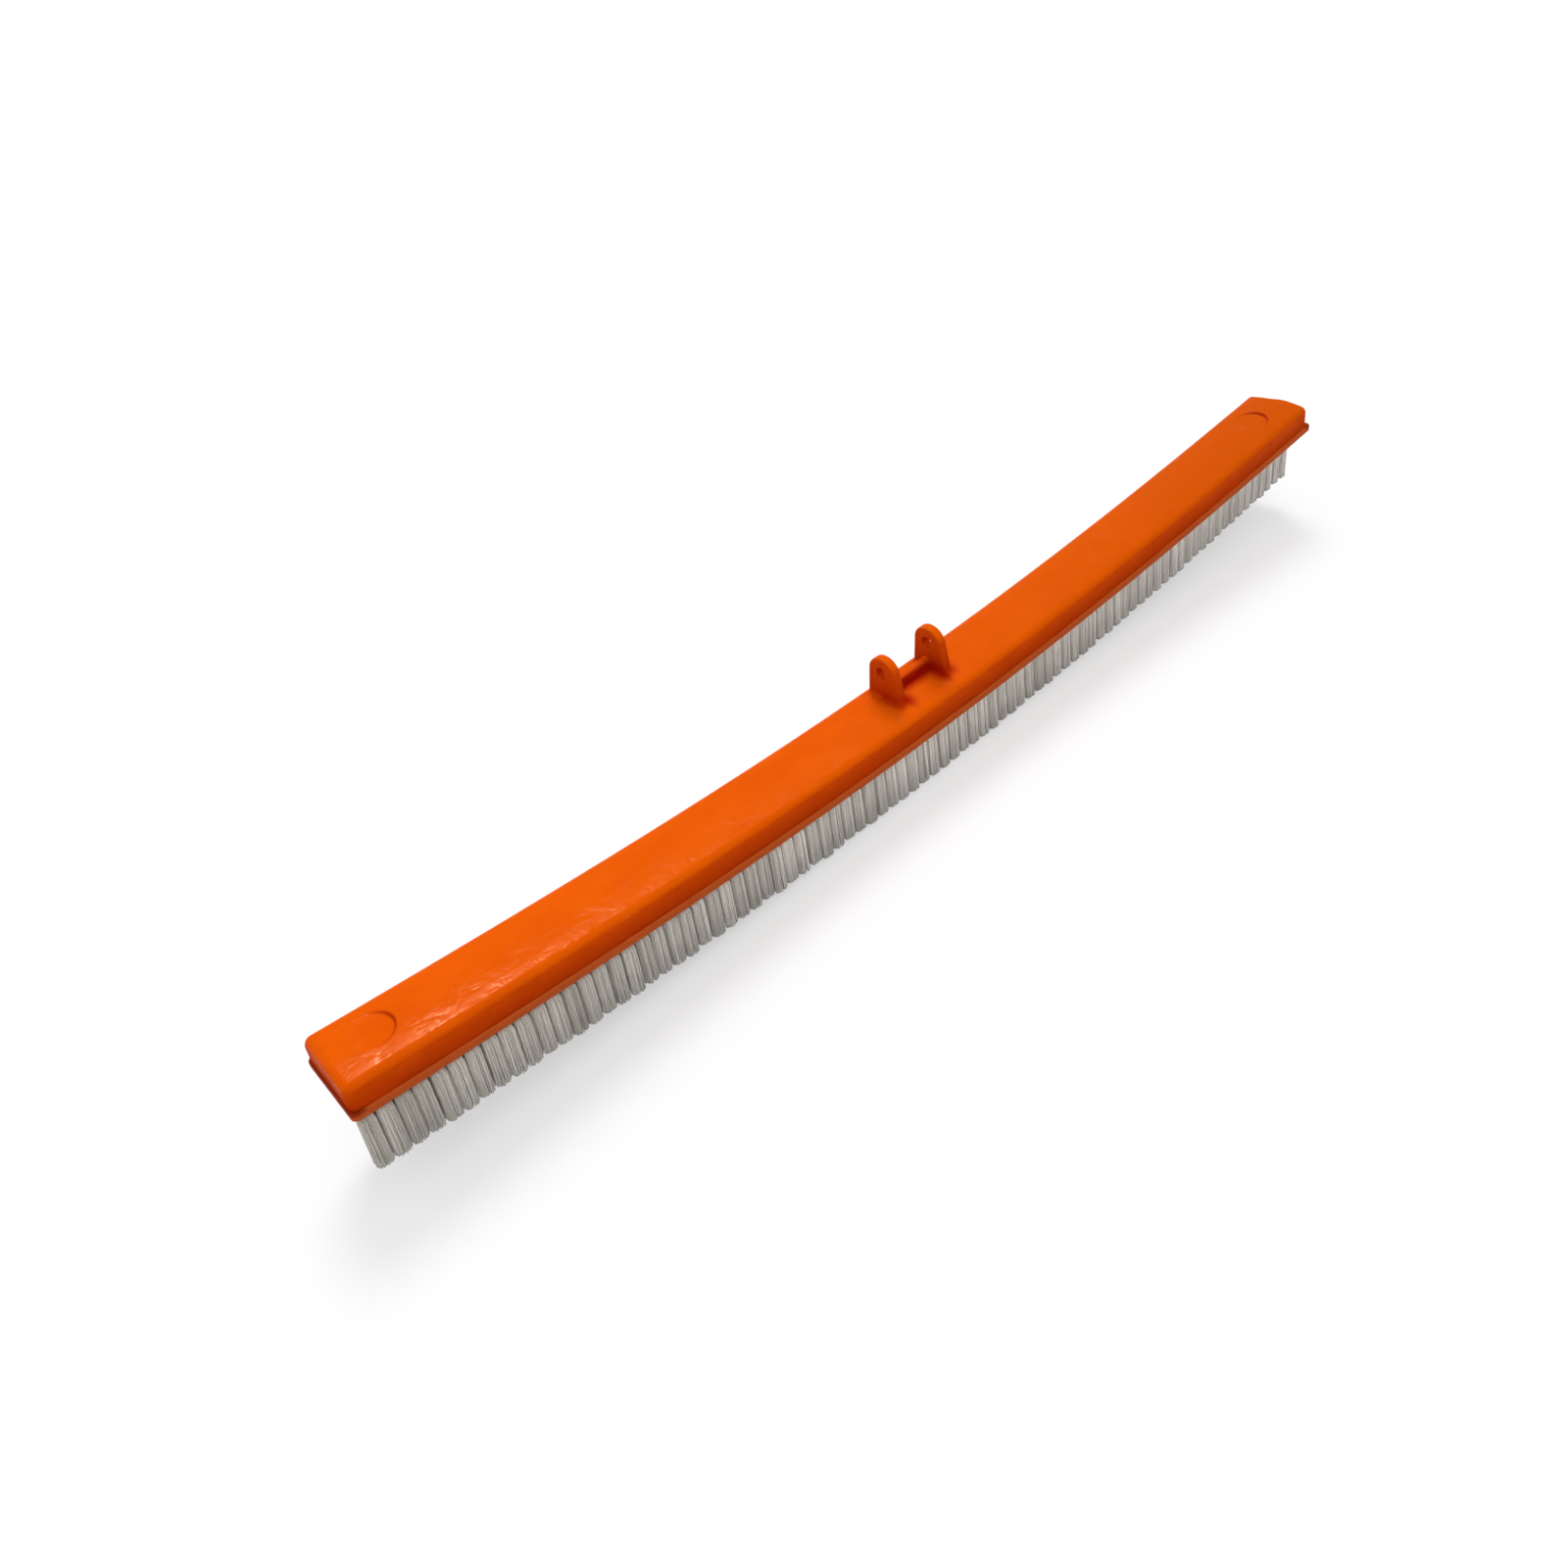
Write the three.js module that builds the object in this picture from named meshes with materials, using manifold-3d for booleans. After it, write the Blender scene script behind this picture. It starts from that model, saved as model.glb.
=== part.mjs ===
// Pool wall brush. Millimetres, +Z up, X along the back, -Y towards the front.
// The origin is on the floor, under the middle of the brush's box.
import * as THREE from 'three';
import { mergeGeometries, mergeVertices } from 'three/addons/utils/BufferGeometryUtils.js';
import Module from 'manifold-3d';

const wasm = await Module();
wasm.setup();

// Back shell: the hollow upper moulding that carries the two handle ears.
const backLength = 747;
const backWidth = 45;
const backShift = -1.5;
const shellHeight = 14;
const shellWall = 3;
const shellRoof = 3;
const shellCornerRadius = 4;
const shellEdgeRadius = 6;
const roofCrown = 2.7;
const ribThickness = 2;

// The back curves up towards both ends. The curve eases off a little near the ends.
const endRise = 22;
const riseEase = 0.15;

// Round shallow recess in the top near each end, measured from the end to its middle.
const leftRecessInset = 24.5;
const rightRecessInset = 34;
const recessRadius = 10.9;
const recessDepth = 1.3;

// Ears for the handle, joined by a low web. Both sit a little behind the centre line.
const earSpacing = 37.8;
const earThickness = 5.8;
const earSetback = 3.6;
const earHoleHeight = 16.4;
const earTopRadius = 10;
const earBaseWidth = 24.5;
const earFootRadius = 2;
const earFootStep = 0.3;
const earArcSteps = 9;
const pinHoleDiameter = 8;
const webSetback = 2.2;
const webThickness = 5.5;
const webHeight = 5.3;
const webTopRadius = 1.5;

// Tuft block: the lower moulding, a lip that shows under the shell and a pad inside it.
const lipThickness = 5;
const lipSideOverhang = 0.8;
const lipEndOverhang = 2.5;
const lipCornerRadius = 3;
const lipEdgeRadius = 1.2;
const padHeight = 3;

// Tufts, set from the -X end. Every second row starts half a pitch later.
const tuftPitch = 8.78;
const rowSpacing = 8.4;
const rowStagger = 4.39;
const tuftRootWidth = 4;
const tuftTipLength = 8.1;
const tuftTipWidth = 7.9;
const tuftEndMargin = 3.5;
const tuftSideMargin = 2.5;
const bristleLength = 32.3;
const backingThickness = 2;
const backingMargin = 0.8;
const bankCount = 4;

// Sideways lean of the tips, forwards at the -X end and backwards at the +X end, and the
// depth by which the tips are trimmed flat on the floor.
const tipSweep = 6;
const tipFlat = 0.5;

// Screws that hold the tuft block up into the shell.
const screwCount = 7;
const screwEndColumns = 1;
const screwShankDiameter = 3.5;
const screwHeadDiameter = 7;
const screwHeadHeight = 2.2;
const screwFaceDiameter = 5.6;
const screwRimHeight = 1.2;
const screwGrip = 7;
const bossWall = 1.95;
const driveWidth = 1;
const driveLength = 4.2;
const driveDepth = 1.2;

// Gap left between pieces that touch, and the amount by which joined solids overlap.
const clearance = 0.3;
const overlap = 1;

// Steps of the curved surfaces.
const spanSteps = 24;
const cornerSteps = 3;
const edgeSteps = 3;
const crownSteps = 4;
const leastRadius = 0.2;
const roundSides = 14;
const recessSides = 28;
const pinHoleSides = 24;

// Heights are measured from the top face at each place along the back, downwards negative.
const seamHeight = -shellHeight;
const blockTop = seamHeight - clearance;
const padTop = blockTop + padHeight;
const blockBottom = blockTop - lipThickness;
const pocketRoof = blockBottom + backingThickness + clearance;
const innerBottom = padTop + clearance;
const lipLength = backLength + 2 * lipEndOverhang;
const lipWidth = backWidth + 2 * lipSideOverhang;
const topAtMiddle = bristleLength - tipFlat - blockBottom;
const roofAtMiddle = topAtMiddle + roofCrown;

// Tuft grid.
const tuftRows = 1 + Math.floor((lipWidth - 2 * tuftSideMargin - tuftRootWidth) / rowSpacing);
const tuftRun = lipLength - 2 * tuftEndMargin - tuftRootWidth - rowStagger;
const tuftColumns = 1 + Math.floor(tuftRun / tuftPitch);
const firstTuft = tuftEndMargin + tuftRootWidth / 2 - lipLength / 2;
const screwRow = Math.floor(tuftRows / 2);

// Screw stack, from the counterbore up to the end of the pilot hole.
const holeRadius = screwShankDiameter / 2 + clearance;
const headSeat = pocketRoof + screwHeadHeight + clearance;
const accessRadius = screwHeadDiameter / 2 + 2 * clearance;
const bossRadius = holeRadius + bossWall;

const shellPlastic = new THREE.MeshStandardMaterial({ color: 0xe65f06, roughness: 0.38, metalness: 0 });
const blockPlastic = new THREE.MeshStandardMaterial({ color: 0xcf4310, roughness: 0.42, metalness: 0 });
const nylon = new THREE.MeshStandardMaterial({ color: 0xa39e95, roughness: 0.6, metalness: 0 });
const stainless = new THREE.MeshStandardMaterial({ color: 0xb9bbbd, roughness: 0.3, metalness: 1 });

// Height of the top face above its middle, and its slope, at x along the back.
function rise(x) {
  const t = x / (backLength / 2);
  return endRise * ((1 + riseEase) * t ** 2 - riseEase * t ** 4);
}

function slope(x) {
  const t = x / (backLength / 2);
  return endRise * (2 * (1 + riseEase) * t - 4 * riseEase * t ** 3) / (backLength / 2);
}

// Carries a point of the straight brush (x, y, height from the top face) onto the curved one.
function bend(point) {
  const m = slope(point.x);
  const stretch = Math.hypot(1, m);
  const height = point.z;
  point.z = topAtMiddle + rise(point.x) + height / stretch;
  point.x -= height * m / stretch;
  return point;
}

// Moves every vertex of a geometry with a function of its position.
function moveVertices(geometry, move) {
  const position = geometry.getAttribute('position');
  const point = new THREE.Vector3();
  for (let i = 0; i < position.count; i++) {
    point.fromBufferAttribute(position, i);
    move(point);
    position.setXYZ(i, point.x, point.y, point.z);
  }
  return geometry;
}

// Stands a rigid piece, drawn about its own origin, on the curved back.
function seat(geometry, x, y, height) {
  const place = bend(new THREE.Vector3(x, y, height));
  geometry.rotateY(-Math.atan(slope(x)));
  return geometry.translate(place.x, place.y, place.z);
}

function toSolid(geometry) {
  geometry.deleteAttribute('normal');
  geometry.deleteAttribute('uv');
  const welded = mergeVertices(geometry, 1e-5);
  const vertProperties = new Float32Array(welded.getAttribute('position').array);
  const triVerts = new Uint32Array(welded.index.array);
  return new wasm.Manifold(new wasm.Mesh({ numProp: 3, vertProperties, triVerts }));
}

function toMesh(name, solid, material) {
  const { numProp, vertProperties, triVerts } = solid.getMesh();
  const geometry = new THREE.BufferGeometry();
  geometry.setAttribute('position', new THREE.BufferAttribute(vertProperties, numProp));
  geometry.setIndex(new THREE.BufferAttribute(triVerts, 1));
  geometry.computeVertexNormals();
  const mesh = new THREE.Mesh(geometry, material);
  mesh.name = name;
  return mesh;
}

// Front edge of a rounded rectangle seen from above, from its -X end to its +X end.
function frontEdge(halfLength, halfWidth, radius) {
  const edge = [];
  const corner = halfLength - radius;
  const side = halfWidth - radius;
  for (let i = 0; i < cornerSteps; i++) {
    const angle = (i / cornerSteps) * (Math.PI / 2);
    edge.push(new THREE.Vector2(-corner - radius * Math.cos(angle), -side - radius * Math.sin(angle)));
  }
  for (let i = 0; i <= spanSteps; i++) {
    edge.push(new THREE.Vector2(corner * (2 * i / spanSteps - 1), -halfWidth));
  }
  for (let i = cornerSteps - 1; i >= 0; i--) {
    const angle = (i / cornerSteps) * (Math.PI / 2);
    edge.push(new THREE.Vector2(corner + radius * Math.cos(angle), -side - radius * Math.sin(angle)));
  }
  return edge;
}

// Levels of a slab between two heights, with a round over at its top and its bottom edge.
function slabLevels(bottom, top, bottomRadius, topRadius) {
  const levels = [];
  for (let i = 0; i <= edgeSteps && bottomRadius > 0; i++) {
    const angle = (i / edgeSteps) * (Math.PI / 2);
    const inset = bottomRadius * (1 - Math.sin(angle));
    levels.push({ height: bottom + bottomRadius * (1 - Math.cos(angle)), inset });
  }
  if (bottomRadius === 0) levels.push({ height: bottom, inset: 0 });
  for (let i = edgeSteps; i >= 0 && topRadius > 0; i--) {
    const angle = (i / edgeSteps) * (Math.PI / 2);
    const inset = topRadius * (1 - Math.sin(angle));
    levels.push({ height: top - topRadius * (1 - Math.cos(angle)), inset });
  }
  if (topRadius === 0) levels.push({ height: top, inset: 0 });
  return levels;
}

// Closed slab with a rounded rectangle for its outline, bent to the curve of the back. Its top
// stands up by the crown along the middle, and falls to nothing at the two long sides.
function bentSlab(middle, length, width, radius, levels, crown = 0) {
  const points = [];
  const faces = [];
  const bottom = levels[0].height;
  const top = levels[levels.length - 1].height;
  const addPoint = (x, y, height) => {
    const lift = crown * (1 - (2 * y / width) ** 2) * (height - bottom) / (top - bottom);
    points.push(new THREE.Vector3(middle + x, y, height + lift));
  };
  const fronts = levels.map(({ inset }) => (
    frontEdge(length / 2 - inset, width / 2 - inset, Math.max(radius - inset, leastRadius))));
  const across = fronts[0].length;
  const around = 2 * across + 2 * (crownSteps - 1);
  const acrossY = (p, step) => p.y * (1 - 2 * step / crownSteps);

  // Each level is a ring: the front, the +X end, the back and the -X end.
  levels.forEach(({ height }, level) => {
    const front = fronts[level];
    const start = front[0];
    const end = front[across - 1];
    for (const p of front) addPoint(p.x, p.y, height);
    for (let step = 1; step < crownSteps; step++) addPoint(end.x, acrossY(end, step), height);
    for (const p of front.toReversed()) addPoint(p.x, -p.y, height);
    for (let step = crownSteps - 1; step > 0; step--) addPoint(start.x, acrossY(start, step), height);
  });
  for (let level = 0; level < levels.length - 1; level++) {
    for (let i = 0; i < around; i++) {
      const a = level * around + i;
      const b = level * around + (i + 1) % around;
      faces.push(a, b, b + around, a, b + around, a + around);
    }
  }

  // The bottom and top faces are grids that share the points of the first and the last ring.
  for (const level of [0, levels.length - 1]) {
    const ring = level * around;
    const inner = points.length;
    const at = (step, i) => {
      if (step === 0) return ring + i;
      if (step === crownSteps) return ring + 2 * across + crownSteps - 2 - i;
      if (i === 0) return ring + around - step;
      if (i === across - 1) return ring + across + step - 1;
      return inner + (step - 1) * (across - 2) + i - 1;
    };
    for (let step = 1; step < crownSteps; step++) {
      for (const p of fronts[level].slice(1, -1)) addPoint(p.x, acrossY(p, step), levels[level].height);
    }
    for (let i = 0; i < across - 1; i++) {
      for (let step = 0; step < crownSteps; step++) {
        const [a, b, c, d] = [at(step, i), at(step, i + 1), at(step + 1, i + 1), at(step + 1, i)];
        if (level === 0) faces.push(a, c, b, a, d, c);
        else faces.push(a, b, c, a, c, d);
      }
    }
  }
  const geometry = new THREE.BufferGeometry().setFromPoints(points);
  geometry.setIndex(faces);
  return toSolid(moveVertices(geometry, bend));
}

// Upright cylinder between two heights, standing on the curved back.
function post(x, y, bottom, top, radius, sides = roundSides) {
  const geometry = new THREE.CylinderGeometry(radius, radius, top - bottom, sides);
  geometry.rotateX(Math.PI / 2).translate(0, 0, (bottom + top) / 2);
  return toSolid(seat(geometry, x, y, 0));
}

function joinAll(first, others) {
  return others.reduce((whole, piece) => whole.add(piece), first);
}

function cutAll(first, cutters) {
  return cutters.reduce((whole, cutter) => whole.subtract(cutter), first);
}

// Place of one tuft, or of the screw that takes its place, on the straight brush.
function tuftPlace(column, row) {
  const y = (row - (tuftRows - 1) / 2) * rowSpacing;
  const x = firstTuft + column * tuftPitch + (row % 2) * rowStagger;
  return { x, y };
}

function screwColumn(index) {
  const lastColumn = tuftColumns - 1 - 2 * screwEndColumns;
  return screwEndColumns + Math.round(index * lastColumn / (screwCount - 1));
}

const screwColumns = Array.from({ length: screwCount }, (_, index) => screwColumn(index));
const screwPlaces = screwColumns.map((column) => tuftPlace(column, screwRow));

// Turns a shape drawn across the brush into a plate that stands upright, thick along X.
function uprightExtrusion(shape, thickness, curveSegments) {
  const plate = new THREE.ExtrudeGeometry(shape, { depth: thickness, bevelEnabled: false, curveSegments });
  const yAxis = new THREE.Vector3(0, 1, 0);
  const zAxis = new THREE.Vector3(0, 0, 1);
  const xAxis = new THREE.Vector3(1, 0, 0);
  plate.applyMatrix4(new THREE.Matrix4().makeBasis(yAxis, zAxis, xAxis));
  return plate.translate(-thickness / 2, 0, 0);
}

// Depth of the roof below its crest, at y across the back.
function roofDrop(y) {
  const inward = Math.max(Math.abs(y) + shellEdgeRadius - backWidth / 2, 0);
  const rounding = shellEdgeRadius - Math.sqrt(Math.max(shellEdgeRadius ** 2 - inward ** 2, 0));
  return roofCrown * (2 * y / backWidth) ** 2 + rounding;
}

// One foot of an ear: its height, a small step above the roof, and the lean of the side above it.
function earFoot(side) {
  const half = earBaseWidth / 2;
  const base = earFootStep - roofDrop(earSetback + side * (half + earFootRadius));
  const climb = earHoleHeight - earFootRadius - base;
  const lean = Math.acos(earTopRadius / Math.hypot(half, climb)) - Math.atan2(climb, half);
  return { base, lean };
}

// Plate with a round top and feet that flare out onto the crowned roof.
function earPlate() {
  const half = earBaseWidth / 2;
  const outside = half + earFootRadius;
  const bottom = -roofCrown - shellRoof + overlap;
  const front = earFoot(-1);
  const rear = earFoot(1);
  const shape = new THREE.Shape();
  shape.moveTo(-outside, bottom);
  shape.lineTo(outside, bottom);
  shape.lineTo(outside, rear.base);
  shape.absarc(outside, rear.base + earFootRadius, earFootRadius, -Math.PI / 2, -Math.PI, true);
  shape.absarc(0, earHoleHeight, earTopRadius, rear.lean, Math.PI - front.lean, false);
  shape.absarc(-outside, front.base + earFootRadius, earFootRadius, 0, -Math.PI / 2, true);
  shape.lineTo(-outside, bottom);
  return uprightExtrusion(shape, earThickness, earArcSteps);
}

function makeEar(side) {
  return toSolid(earPlate().translate(backShift + side * earSpacing / 2, earSetback, roofAtMiddle));
}

function makeWeb() {
  const width = earSpacing - earThickness + 2 * overlap;
  const shape = new THREE.Shape();
  const half = webThickness / 2;
  shape.moveTo(-half, -overlap);
  shape.lineTo(half, -overlap);
  shape.absarc(half - webTopRadius, webHeight - webTopRadius, webTopRadius, 0, Math.PI / 2, false);
  shape.absarc(webTopRadius - half, webHeight - webTopRadius, webTopRadius, Math.PI / 2, Math.PI, false);
  shape.lineTo(-half, -overlap);
  const web = uprightExtrusion(shape, width, edgeSteps);
  return toSolid(web.translate(backShift, earSetback + webSetback, roofAtMiddle));
}

function makePinHole() {
  const radius = pinHoleDiameter / 2;
  const pin = new THREE.CylinderGeometry(radius, radius, earSpacing + 2 * earThickness, pinHoleSides);
  return toSolid(pin.rotateZ(Math.PI / 2).translate(backShift, earSetback, roofAtMiddle + earHoleHeight));
}

// Hollow of the shell, or the same space grown by a margin into its walls and its roof.
function innerSpace(bottom, margin) {
  const width = backWidth - 2 * shellWall;
  const crown = roofCrown * (width / backWidth) ** 2;
  const top = roofCrown - crown - shellRoof + margin;
  const edge = Math.max(shellEdgeRadius - shellWall, 0) + margin;
  return bentSlab(backShift, backLength - 2 * shellWall + 2 * margin, width + 2 * margin,
    shellCornerRadius - shellWall + margin, slabLevels(bottom, top, 0, edge), crown);
}

// Cross rib that ties the two long walls of the shell to its roof.
function makeRib(x) {
  const rib = new THREE.BoxGeometry(ribThickness, backWidth, roofCrown - innerBottom);
  return toSolid(seat(rib, x, 0, (innerBottom + roofCrown) / 2));
}

function makeBackShell() {
  const outer = bentSlab(backShift, backLength, backWidth, shellCornerRadius,
    slabLevels(seamHeight, 0, 0, shellEdgeRadius), roofCrown);
  const hollow = joinAll(outer, [makeEar(-1), makeEar(1), makeWeb()])
    .subtract(innerSpace(seamHeight - overlap, 0));
  const bossTop = roofCrown - shellRoof + overlap;
  const bosses = screwPlaces.map(({ x, y }) => post(x, y, innerBottom, bossTop, bossRadius));
  const ribs = [makeRib(backShift - earSpacing / 2), makeRib(backShift + earSpacing / 2)];
  for (let i = 1; i < screwCount; i++) {
    ribs.push(makeRib((screwPlaces[i - 1].x + screwPlaces[i].x) / 2));
  }
  const ribSpace = innerSpace(innerBottom, overlap);
  const body = joinAll(hollow, [...ribs.map((rib) => rib.intersect(ribSpace)), ...bosses]);
  const pilots = screwPlaces.map(({ x, y }) => (
    post(x, y, innerBottom - overlap, innerBottom + screwGrip + clearance, holeRadius)));
  const recessFloor = roofCrown - recessDepth;
  const recessPlaces = [leftRecessInset - backLength / 2, backLength / 2 - rightRecessInset];
  const recesses = recessPlaces.map((x) => (
    post(backShift + x, 0, recessFloor, roofCrown + overlap, recessRadius, recessSides)));
  return toMesh('back_shell', cutAll(body, [...pilots, ...recesses, makePinHole()]), shellPlastic);
}

// Flat plate that covers a run of tuft columns, from one column up to the start of another.
function backing(firstColumn, endColumn, bottom, top, margin) {
  const halfStep = (tuftPitch - rowStagger) / 2;
  const fieldStart = tuftPlace(0, 0).x - tuftRootWidth / 2 - margin;
  const fieldEnd = tuftPlace(tuftColumns - 1, 0).x + rowStagger + tuftRootWidth / 2 + margin;
  const start = tuftPlace(firstColumn, 0).x - halfStep + clearance / 2;
  const end = tuftPlace(endColumn, 0).x - halfStep - clearance / 2;
  const from = firstColumn === 0 ? fieldStart : start;
  const to = endColumn === tuftColumns ? fieldEnd : end;
  const width = (tuftRows - 1) * rowSpacing + tuftRootWidth + 2 * margin;
  const steps = Math.ceil((to - from) / backLength * spanSteps);
  const plate = new THREE.BoxGeometry(to - from, width, top - bottom, steps, 1, 1);
  return toSolid(moveVertices(plate.translate((from + to) / 2, 0, (bottom + top) / 2), bend));
}

function makeTuftBlock() {
  const lip = bentSlab(0, lipLength, lipWidth, lipCornerRadius,
    slabLevels(blockBottom, blockTop, lipEdgeRadius, lipEdgeRadius));
  const padInset = 2 * (shellWall + clearance);
  const pad = bentSlab(backShift, backLength - padInset, backWidth - padInset,
    shellCornerRadius - shellWall - clearance, slabLevels(blockTop - overlap, padTop, 0, 0));
  const pocket = backing(0, tuftColumns, blockBottom - overlap, pocketRoof, backingMargin + clearance);
  const holes = screwPlaces.map(({ x, y }) => post(x, y, blockBottom, padTop + overlap, holeRadius));
  const counterbores = screwPlaces.map(({ x, y }) => (
    post(x, y, pocketRoof - overlap, headSeat, screwHeadDiameter / 2 + clearance)));
  return toMesh('tuft_block', cutAll(lip.add(pad), [pocket, ...holes, ...counterbores]), blockPlastic);
}

// One tuft as a four-sided strand that spreads from its backing to its tip.
function strand(column, row) {
  const { x, y } = tuftPlace(column, row);
  const sweep = tipSweep * x / (lipLength / 2);
  const drop = Math.sqrt(bristleLength ** 2 - sweep ** 2);
  const root = blockBottom + backingThickness / 2;
  const tuft = new THREE.BoxGeometry(1, 1, 1).translate(0, 0, -0.5);
  return moveVertices(tuft, (point) => {
    const down = -point.z;
    const length = tuftRootWidth + (tuftTipLength - tuftRootWidth) * down;
    const width = tuftRootWidth + (tuftTipWidth - tuftRootWidth) * down;
    point.x = x + point.x * length;
    point.y = y + point.y * width + sweep * down;
    point.z = root + (blockBottom - drop - root) * down;
    bend(point);
  });
}

function makeBristleBank(bank) {
  const first = Math.round(bank * tuftColumns / bankCount);
  const end = Math.round((bank + 1) * tuftColumns / bankCount);
  const strands = [];
  const access = [];
  for (let column = first; column < end; column++) {
    for (let row = 0; row < tuftRows; row++) {
      if (row === screwRow && screwColumns.includes(column)) {
        const { x, y } = tuftPlace(column, row);
        access.push(post(x, y, blockBottom - overlap, pocketRoof, accessRadius));
      } else {
        strands.push(strand(column, row));
      }
    }
  }
  const plate = backing(first, end, blockBottom, blockBottom + backingThickness, backingMargin);
  const tufts = toSolid(mergeGeometries(strands));
  const floorBox = new THREE.BoxGeometry(2 * lipLength, 2 * lipLength, bristleLength);
  const floor = toSolid(floorBox.translate(0, 0, -bristleLength / 2));
  return toMesh(`bristle_bank_${bank + 1}`, cutAll(plate, access).add(tufts).subtract(floor), nylon);
}

// Pan head screw with a cross drive, head down, as it sits in the tuft block.
function makeScrew(index) {
  const { x, y } = screwPlaces[index];
  const headTop = headSeat - clearance;
  const headFace = headTop - screwHeadHeight;
  const tip = innerBottom + screwGrip;
  const shank = screwShankDiameter / 2;
  const profile = [
    new THREE.Vector2(0, headFace),
    new THREE.Vector2(screwFaceDiameter / 2, headFace),
    new THREE.Vector2(screwHeadDiameter / 2, headTop - screwRimHeight),
    new THREE.Vector2(screwHeadDiameter / 2, headTop),
    new THREE.Vector2(shank, headTop),
    new THREE.Vector2(shank, tip - shank),
    new THREE.Vector2(0, tip),
  ];
  const body = new THREE.LatheGeometry(profile, roundSides).rotateX(Math.PI / 2);
  const slots = [0, Math.PI / 2].map((turn) => {
    const slot = new THREE.BoxGeometry(driveLength, driveWidth, 2 * driveDepth);
    return toSolid(slot.rotateZ(turn).translate(0, 0, headFace));
  });
  const screw = toMesh(`block_screw_${index + 1}`, cutAll(toSolid(body), slots), stainless);
  screw.position.copy(bend(new THREE.Vector3(x, y, 0)));
  screw.rotation.y = -Math.atan(slope(x));
  return screw;
}

const brush = new THREE.Group();
brush.add(makeBackShell());
brush.add(makeTuftBlock());
for (let bank = 0; bank < bankCount; bank++) brush.add(makeBristleBank(bank));
for (let index = 0; index < screwCount; index++) brush.add(makeScrew(index));

const box = new THREE.Box3().setFromObject(brush);
const middle = box.getCenter(new THREE.Vector3());
brush.position.set(-middle.x, -middle.y, -box.min.z);

export default brush;
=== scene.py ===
import math
import bpy
import numpy as np
from mathutils import Matrix, Vector


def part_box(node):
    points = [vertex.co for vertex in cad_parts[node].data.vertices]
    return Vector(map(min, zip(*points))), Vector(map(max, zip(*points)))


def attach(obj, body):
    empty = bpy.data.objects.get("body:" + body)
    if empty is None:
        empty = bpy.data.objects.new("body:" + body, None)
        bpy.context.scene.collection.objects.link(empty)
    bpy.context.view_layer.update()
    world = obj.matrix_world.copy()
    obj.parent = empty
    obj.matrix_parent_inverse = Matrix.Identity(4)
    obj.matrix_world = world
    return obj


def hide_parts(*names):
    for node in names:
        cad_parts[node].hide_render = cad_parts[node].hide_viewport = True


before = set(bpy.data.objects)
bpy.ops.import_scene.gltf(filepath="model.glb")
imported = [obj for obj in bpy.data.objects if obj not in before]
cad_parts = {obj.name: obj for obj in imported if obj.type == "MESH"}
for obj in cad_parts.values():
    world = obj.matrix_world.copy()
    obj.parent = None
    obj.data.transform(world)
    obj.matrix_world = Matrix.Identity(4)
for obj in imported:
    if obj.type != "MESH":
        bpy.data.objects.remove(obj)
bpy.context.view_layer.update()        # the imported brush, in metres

# The brush is drawn straight, in millimetres: x along the back, y across it, h up from the roof's
# long edges. bend() then carries it onto the curved brush, in metres.
brush = {
    "halfBack": 373.5, "endRise": 22.0, "riseEase": 0.15, "topAtMiddle": 51.1,
    "backShift": -1.5, "metre": 0.001,
}


def middleOf(node, axis):
    low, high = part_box(node)
    return (low[axis] + high[axis]) / 2


shiftX = middleOf("tuft_block", 0)
shiftY = middleOf("back_shell", 1)


def bend(points):
    t = points[..., 0] / brush["halfBack"]
    ease = brush["riseEase"]
    rise = brush["endRise"] * ((1 + ease) * t ** 2 - ease * t ** 4)
    slope = brush["endRise"] * (2 * (1 + ease) * t - 4 * ease * t ** 3) / brush["halfBack"]
    stretch = np.hypot(1, slope)
    x = points[..., 0] - points[..., 2] * slope / stretch
    z = brush["topAtMiddle"] + rise + points[..., 2] / stretch
    bent = np.stack([x, points[..., 1], z], axis=-1) * brush["metre"]
    return bent + np.array([shiftX, shiftY, 0])


# Distances to solids: negative inside, in millimetres.
def roundMax(a, b, radius):        # inside both, with a rounded edge
    corner = np.hypot(np.maximum(a + radius, 0), np.maximum(b + radius, 0))
    return np.minimum(np.maximum(a, b), -radius) + corner


def roundMin(a, b, radius):        # inside either, with a fillet
    corner = np.hypot(np.maximum(radius - a, 0), np.maximum(radius - b, 0))
    return np.maximum(np.minimum(a, b), radius) - corner


def roundedPlan(x, y, halfLength, halfWidth, radius):
    dx = np.abs(x) - halfLength + radius
    dy = np.abs(y) - halfWidth + radius
    return np.hypot(np.maximum(dx, 0), np.maximum(dy, 0)) + np.minimum(np.maximum(dx, dy), 0) - radius


def smoothStep(value, start, end):
    t = np.clip((value - start) / (end - start), 0, 1)
    return t * t * (3 - 2 * t)


def blend(first, last, share):
    return first + (last - first) * share


def gridLine(start, *runs):
    line = [np.array([start])]
    for end, step in runs:
        count = max(1, math.ceil((end - start) / step))
        line.append(np.linspace(start, end, count + 1)[1:])
        start = end
    return np.concatenate(line)


def gridLines(settings):        # each grid is a start, then runs of (end, step)
    return [gridLine(*settings[axis + "Grid"]) for axis in "xyh"]


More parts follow.
